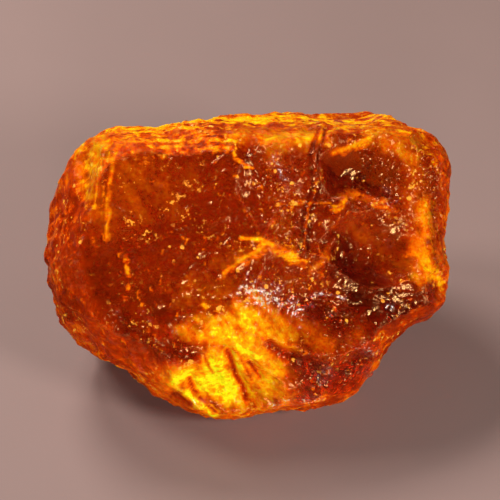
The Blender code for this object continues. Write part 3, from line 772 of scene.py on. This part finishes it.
class Finish:
    """One material and the nodes that make it up."""

    def __init__(self, name):
        self.material = bpy.data.materials.new(name)
        self.material.use_nodes = True
        self.tree = self.material.node_tree
        self.tree.nodes.clear()

    def add(self, kind, settings=None, sockets=None):
        """Adds a node: its settings first, then the values or links of its sockets."""
        node = self.tree.nodes.new(kind)
        for name, setting in (settings or {}).items():
            if name == "stops":
                self.set_stops(node.color_ramp, setting)
            else:
                setattr(node, name, setting)
        for name, given in (sockets or {}).items():
            if isinstance(given, Value):
                self.tree.links.new(given.socket, node.inputs[name])
            else:
                node.inputs[name].default_value = given
        return Value(self, node, next(iter(node.outputs), None))

    def set_stops(self, ramp, stops):
        """Gives a colour ramp its stops, each a place and a colour."""
        while len(ramp.elements) < len(stops):
            ramp.elements.new(0.5)
        for element, (place, colour) in zip(ramp.elements, stops):
            element.position = place
            element.color = (*colour, 1)

    def mask(self, name):
        """A mask painted on the mesh."""
        settings = {"attribute_type": "GEOMETRY", "attribute_name": name}
        return self.add("ShaderNodeAttribute", settings).output("Fac")

    def grain(self, size, detail=4.0, roughness=0.6, along=(1, 0, 0), stretch=1.0):
        """Noise from 0 to 1 with features of that size in metres, drawn out along a direction."""
        place = self.add("ShaderNodeTexCoord").output("Object")
        turn = Vector((1, 0, 0)).rotation_difference(Vector(along)).to_euler()
        drawing = {"Vector": place, "Rotation": turn, "Scale": (stretch, 1, 1)}
        drawn = self.add("ShaderNodeMapping", {"vector_type": "TEXTURE"}, drawing)
        sockets = {"Vector": drawn, "Scale": 1 / size, "Detail": detail, "Roughness": roughness}
        return self.add("ShaderNodeTexNoise", {}, sockets).output("Fac")

    def spots(self, spacing, radius, ragged):
        """Scattered ragged spots of many sizes, up to that share of their spacing in metres."""
        place = self.add("ShaderNodeTexCoord").output("Object")
        cells = self.add("ShaderNodeTexVoronoi", {}, {"Vector": place, "Scale": 1 / spacing})
        dice = self.add("ShaderNodeSeparateColor", {}, {0: cells.output("Color")})
        reach = dice.output("Red") * dice.output("Green") * ragged * (2 * radius) - cells.output("Distance")
        kept = dice.output("Blue").between(0.3, 0.31)
        return reach.between(-0.04, 0.04) * kept

    def shards(self, size, steepness):
        """Height in metres of flat facets of that size, each leaning its own way."""
        place = self.add("ShaderNodeTexCoord").output("Object")
        cells = self.add("ShaderNodeTexVoronoi", {}, {"Vector": place, "Scale": 1 / size})
        less = {"operation": "SUBTRACT"}
        away = self.add("ShaderNodeVectorMath", less, {0: place, 1: cells.output("Position")})
        lean = self.add("ShaderNodeVectorMath", less, {0: cells.output("Color"), 1: (0.5, 0.5, 0.5)})
        height = self.add("ShaderNodeVectorMath", {"operation": "DOT_PRODUCT"}, {0: away, 1: lean})
        return height.output("Value") * (2 * steepness)

    def blend(self, share, first, second):
        """A mix of two colours."""
        return self.add("ShaderNodeMix", {"data_type": "RGBA"}, {0: share, 6: first, 7: second}).output(2)


IOR = 1.54
CLOUDINESS = 0.26                  # how much of a clean break's light the cloudy resin turns back
ABSORPTION_COLOUR = (0.972, 0.806, 0.0625, 1.0)
ABSORPTION_DENSITY = 320.0
CLEAR_TINT = (1.0, 0.58, 0.14, 1)
GLINT_TINT = (1.0, 0.56, 0.20, 1.0)
# The clear resin's tint where the painted shade darkens it
PAINTED_SHADE_TINT = (0.70, 0.28, 0.04, 1)
CLEAR_ROUGHNESS = (0.15, 0.42)     # on a clean break and where weathered
# The cloudy resin's colours, from its darkest parts to its most golden, whose top end also paints the glow,
# and those laid over them
AMBER_TONES = [
    (0.00, (0.22, 0.010, 0.0003)),
    (0.14, (0.60, 0.042, 0.0006)),
    (0.34, (0.92, 0.15, 0.0010)),
    (0.60, (1.00, 0.33, 0.0020)),
    (0.85, (1.00, 0.48, 0.0030)),
    (1.00, (1.00, 0.80, 0.0060)),
]
# Painted shade laid over the cloudy colours
PAINTED_SHADE_TONE = (0.25, 0.013, 0.0004, 1)
# Whitish bloom, partly a painted sheen of glints
BLOOM_AND_SHEEN_TONE = (0.93, 0.74, 0.52, 1)
FLECK_TONE = (1.0, 0.46, 0.045, 1)
CLOUDY_SPREAD = 0.0005             # how far light spreads in it, in metres
CLOUDY_RADIUS = (1.0, 0.65, 0.25)  # and how far its red, green and blue go, compared with that
SKIN_ROUGHNESS = 0.22

# Grains of the finish: size in metres, detail, roughness and, where drawn out, direction and stretch
FINE = (0.0009,)
FACETS = (0.0006, 2.0)
FLECKS = (0.0009, 3.0, 0.7)
SPECKLE = (0.0022,)
CLOUDS = (0.007, 5.0, 0.65)
STREAKS = (0.0011, 4.0, 0.65, (1, 0, 0), 5.0)
FLOW = (0.0015, 4.0, 0.6, (0.5, -0.61, -0.61), 4.0)
SPOTS = (0.0016, 0.16)             # spacing in metres, and the largest radius to it
SHARDS = [(0.0005, 0.6), (0.0012, 0.35)]     # size in metres and steepness, small and large
GRIT_DEPTH = 0.0003                # in metres


class Amber(Finish):
    """Clear but slightly cloudy resin, glassy on clean breaks and frosted where the crust is left, with
    painted light and painted shading in its colour.
    """

    def __init__(self):
        super().__init__("clear_amber")
        self.bloom = self.mask("bloom")
        self.glow = self.mask("glow")
        self.golden = self.mask("golden")
        self.haze = self.mask("haze")
        self.rim = self.mask("rim")
        self.shade = self.mask("shade")
        self.light = 1 - self.shade
        self.fine = self.grain(*FINE)
        self.facets = self.grain(*FACETS)
        self.speckle = self.grain(*SPECKLE)
        self.clouds = self.grain(*CLOUDS)
        self.streaks = self.grain(*STREAKS)
        self.flow = self.grain(*FLOW)
        self.weathered = self.mask("crust").over(self.mask("edge") * 0.6) * (1 - self.mask("base"))
        # Painted highlight: crests drawn brighter where they stand proud
        self.painted_crest_highlight = self.mask("crest") * self.speckle.between(0.42, 0.68)
        # Whitish bloom, broken up, partly a painted sheen of glints
        self.pale = self.bloom.between(0.3, 0.9) * (0.3 * self.bloom + self.facets).between(0.74, 0.86)
        self.gold_and_glow = self.ragged_gold_and_glow()
        self.flecks = self.golden_flecks()
        self.make()

    def ragged_gold_and_glow(self):
        """From 0 to 1, the golden strokes, crust colour and painted light, with ragged edges and gaps."""
        ragged = (self.speckle - 0.5) * 1.3 + (self.fine - 0.5) * 0.9
        frayed = (self.golden + ragged).between(0.2, 0.9) * self.golden.between(0.0, 0.25)
        return 0.25 * self.golden + 0.75 * frayed

    def golden_flecks(self):
        """From 0 to 1, flecks in crowds and scattered spots."""
        clusters = self.clouds.between(0.42, 0.6) * self.speckle.between(0.4, 0.6)
        crowd = clusters.over(self.mask("flecked"))
        flecks = (self.grain(*FLECKS) + 0.05 * crowd).between(0.61, 0.66) * crowd
        spots = self.spots(*SPOTS, self.facets * 2) * self.clouds.between(0.36, 0.5)
        return spots.over(flecks)

    def relief(self):
        """Height in metres: grit on the crust and small facets where the resin is shattered."""
        grit = self.fine * (0.05 + 0.95 * self.weathered) * GRIT_DEPTH
        shattered = self.mask("shattered").over(self.weathered * 0.5).over(self.glow * 0.5)
        small, large = (self.shards(*shards) for shards in SHARDS)
        return grit + (small + large) * (0.018 + 0.98 * shattered)

    def warmth(self):
        """From 0 to 1, how far up its colours the cloudy resin is, raised by painted light on glowing parts,
        crests and rim, lowered by painted shading.
        """
        # Painted shade: weathered patches under the haze and the golden strokes are kept darker
        dim = self.haze.over(self.golden * 0.7)
        shimmer = 0.6 + 0.45 * self.flow.between(0.38, 0.62) + 0.4 * self.fine.between(0.38, 0.62)
        patches = self.clouds.between(0.5, 0.62) * self.speckle.between(0.42, 0.6)
        warmth = self.gold_and_glow * (0.5 * self.streaks.between(0.38, 0.6) + 0.35 * self.speckle.between(0.4, 0.6))
        # Painted glow, kept out of the painted shade
        warmth = warmth.over(self.glow * shimmer) * self.light
        # Painted highlight on the crests
        warmth = warmth.over(self.painted_crest_highlight * 0.5)
        # Painted glow along the thin rim
        warmth = warmth.over(self.rim * (0.55 * self.clouds * self.flow.between(0.42, 0.62)))
        warmth = warmth.over(self.weathered * patches * (0.5 - 0.35 * dim))
        warmth = warmth.over(self.weathered * self.speckle.between(0.42, 0.75) * (0.28 - 0.2 * dim))
        wisps = 0.05 + 0.38 * self.clouds.between(0.35, 0.65)
        warmth = warmth.over(self.haze * self.flow.between(0.5, 0.64) * wisps)
        depths = 0.09 + self.clouds.between(0.45, 0.75) * 0.17
        warmth = warmth.over(depths * self.light - dim * 0.09)
        return warmth * (0.8 + 0.35 * self.facets.between(0.3, 0.7)) * (1 - 0.7 * self.shade)

    def colour(self):
        """The cloudy resin's colour, with painted shading, whitish bloomed patches that are partly a painted
        sheen, and flecks.
        """
        colour = self.add("ShaderNodeValToRGB", {"stops": AMBER_TONES}, {0: self.warmth()})
        # Painted shade laid over the colour
        colour = self.blend(self.shade * 0.85, colour, PAINTED_SHADE_TONE)
        # Whitish bloom, partly a painted sheen
        colour = self.blend(self.pale * 0.9, colour, BLOOM_AND_SHEEN_TONE)
        return self.blend(self.flecks * 0.85, colour, FLECK_TONE)

    def cloudy_share(self):
        """From 0 to 1, how much of the light the cloudy resin turns back."""
        share = self.weathered * (0.55 + 0.35 * self.speckle.between(0.35, 0.6))
        share = share.over(self.gold_and_glow * (0.6 + 0.35 * self.streaks.between(0.38, 0.55)))
        share = share.over(self.haze).over(self.glow.between(0.0, 0.7) * 0.9)
        share = share.over(self.painted_crest_highlight * 0.7).over(self.rim * 0.6)
        share = share.over(self.flecks * 0.9).over(self.pale * 0.8)
        return share.over(CLOUDINESS * self.light)

    def make(self):
        """Joins the clear and the cloudy resin, over what the clear one takes out of the light in it."""
        relief = {"Height": self.relief(), "Distance": 1.0, "Strength": 1.0}
        both = {
            "IOR": IOR,
            "Coat Weight": self.bloom.between(0.1, 0.8) * self.facets.between(0.38, 0.5),
            "Coat Roughness": SKIN_ROUGHNESS,
            "Coat IOR": IOR,
            "Normal": self.add("ShaderNodeBump", {}, relief),
        }
        clear = {
            # Painted shade also darkens the clear resin's tint
            "Base Color": self.blend(self.shade, CLEAR_TINT, PAINTED_SHADE_TINT),
            "Roughness": self.weathered.between(0.1, 0.9, *CLEAR_ROUGHNESS),
            "Specular IOR Level": 0.2,
            "Specular Tint": GLINT_TINT,
            "Transmission Weight": 1.0,
        }
        cloudy = {
            "Base Color": self.colour(),
            "Roughness": 0.6,
            "Specular IOR Level": 0.0,
            "Subsurface Weight": 1.0,
            "Subsurface Radius": CLOUDY_RADIUS,
            "Subsurface Scale": CLOUDY_SPREAD,
        }
        clear = self.add("ShaderNodeBsdfPrincipled", {}, {**clear, **both})
        cloudy = self.add("ShaderNodeBsdfPrincipled", {}, {**cloudy, **both})
        surface = self.add("ShaderNodeMixShader", {}, {0: self.cloudy_share(), 1: clear, 2: cloudy})
        absorbed = {"Color": ABSORPTION_COLOUR, "Density": ABSORPTION_DENSITY}
        body = self.add("ShaderNodeVolumeAbsorption", {}, absorbed)
        self.add("ShaderNodeOutputMaterial", {}, {"Surface": surface, "Volume": body})


CARD_GRAIN = (0.03, 2.0)
CARD_TONES = ((0.24, 0.150, 0.126, 1), (0.255, 0.160, 0.136, 1))


def pale_floor():
    """Matt pale card."""
    finish = Finish("pale_card")
    colour = finish.blend(finish.grain(*CARD_GRAIN), *CARD_TONES)
    card = finish.add("ShaderNodeBsdfPrincipled", {}, {"Base Color": colour, "Roughness": 0.8})
    finish.add("ShaderNodeOutputMaterial", {}, {"Surface": card})
    return finish.material


# ---------------------------------------------------------------- studio

CAMERA_ELEVATION = 45.0
LENS = 135.0
SENSOR = 36.0
PICTURE_WIDTH = 90.0               # millimetres across the picture at the lump's middle
PICTURE_MIDDLE = (0.54, 2.39)      # where the picture's middle is on the broad face, u and v
FLOOR_GAP = 0.0001                 # metres between the resting patch and the floor
FLOOR_WIDTH = 6
ROOM_COLOUR = (0.8, 0.78, 0.78, 1)
ROOM_BRIGHTNESS = 0.05
LAMP_AIM = 0.02                    # how high the lamps aim, in metres
LAMP_DISTANCE = 0.42
# Azimuth, where 0 is in front and 90 on the right, elevation, width in metres and power
LAMPS = {
    "left_behind": (-148, 52, 0.16, 1.5),
    "left": (-105, 50, 0.12, 0.8),
    "front": (0, 10, 0.09, 1.2),
    "right_front": (50, 33, 0.10, 1.1),
}


def make_camera(placing):
    """Looks square on to the broad face, from in front and above."""
    camera = bpy.data.cameras.new("camera")
    camera.lens = LENS
    camera.sensor_width = SENSOR
    camera.clip_start = 0.01
    holder = bpy.data.objects.new("camera", camera)
    bpy.context.scene.collection.objects.link(holder)
    elevation = math.radians(CAMERA_ELEVATION)
    towards = Vector((0, math.cos(elevation), -math.sin(elevation)))
    distance = PICTURE_WIDTH * placing.scale * LENS / SENSOR
    aim = Vector(placing.place((*PICTURE_MIDDLE, 0.0)))
    holder.location = aim - towards * distance
    holder.rotation_euler = towards.to_track_quat("-Z", "Y").to_euler()
    bpy.context.scene.camera = holder


def soft_lamp(name, azimuth, elevation, width, power):
    """A round soft lamp that faces the lump."""
    lamp = bpy.data.lights.new(name, "AREA")
    lamp.shape = "DISK"
    lamp.size = width
    lamp.energy = power
    holder = bpy.data.objects.new(name, lamp)
    bpy.context.scene.collection.objects.link(holder)
    around, up = math.radians(azimuth), math.radians(elevation)
    away = Vector((math.sin(around) * math.cos(up), -math.cos(around) * math.cos(up), math.sin(up)))
    holder.location = Vector((0, 0, LAMP_AIM)) + away * LAMP_DISTANCE
    holder.rotation_euler = away.to_track_quat("Z", "Y").to_euler()


def light_studio():
    """Soft lamps on the left, behind it, in front and on the right, in a dim room."""
    room = bpy.data.worlds.new("room")
    bpy.context.scene.world = room
    room.use_nodes = True
    background = room.node_tree.nodes["Background"]
    background.inputs["Color"].default_value = ROOM_COLOUR
    background.inputs["Strength"].default_value = ROOM_BRIGHTNESS
    for name, placed in LAMPS.items():
        soft_lamp(name, *placed)
    bpy.context.scene.view_settings.view_transform = "Standard"


def make_floor():
    """A wide level floor just under the lump."""
    bpy.ops.mesh.primitive_plane_add(size=FLOOR_WIDTH, location=(0, 0, -FLOOR_GAP))
    floor = bpy.context.object
    floor.name = "floor"
    floor.data.materials.append(pale_floor())


def main():
    lump, placing = make_lump()
    lump.data.materials.append(Amber().material)
    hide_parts("amber_piece")
    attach(lump, "root")
    make_floor()
    make_camera(placing)
    light_studio()


main()
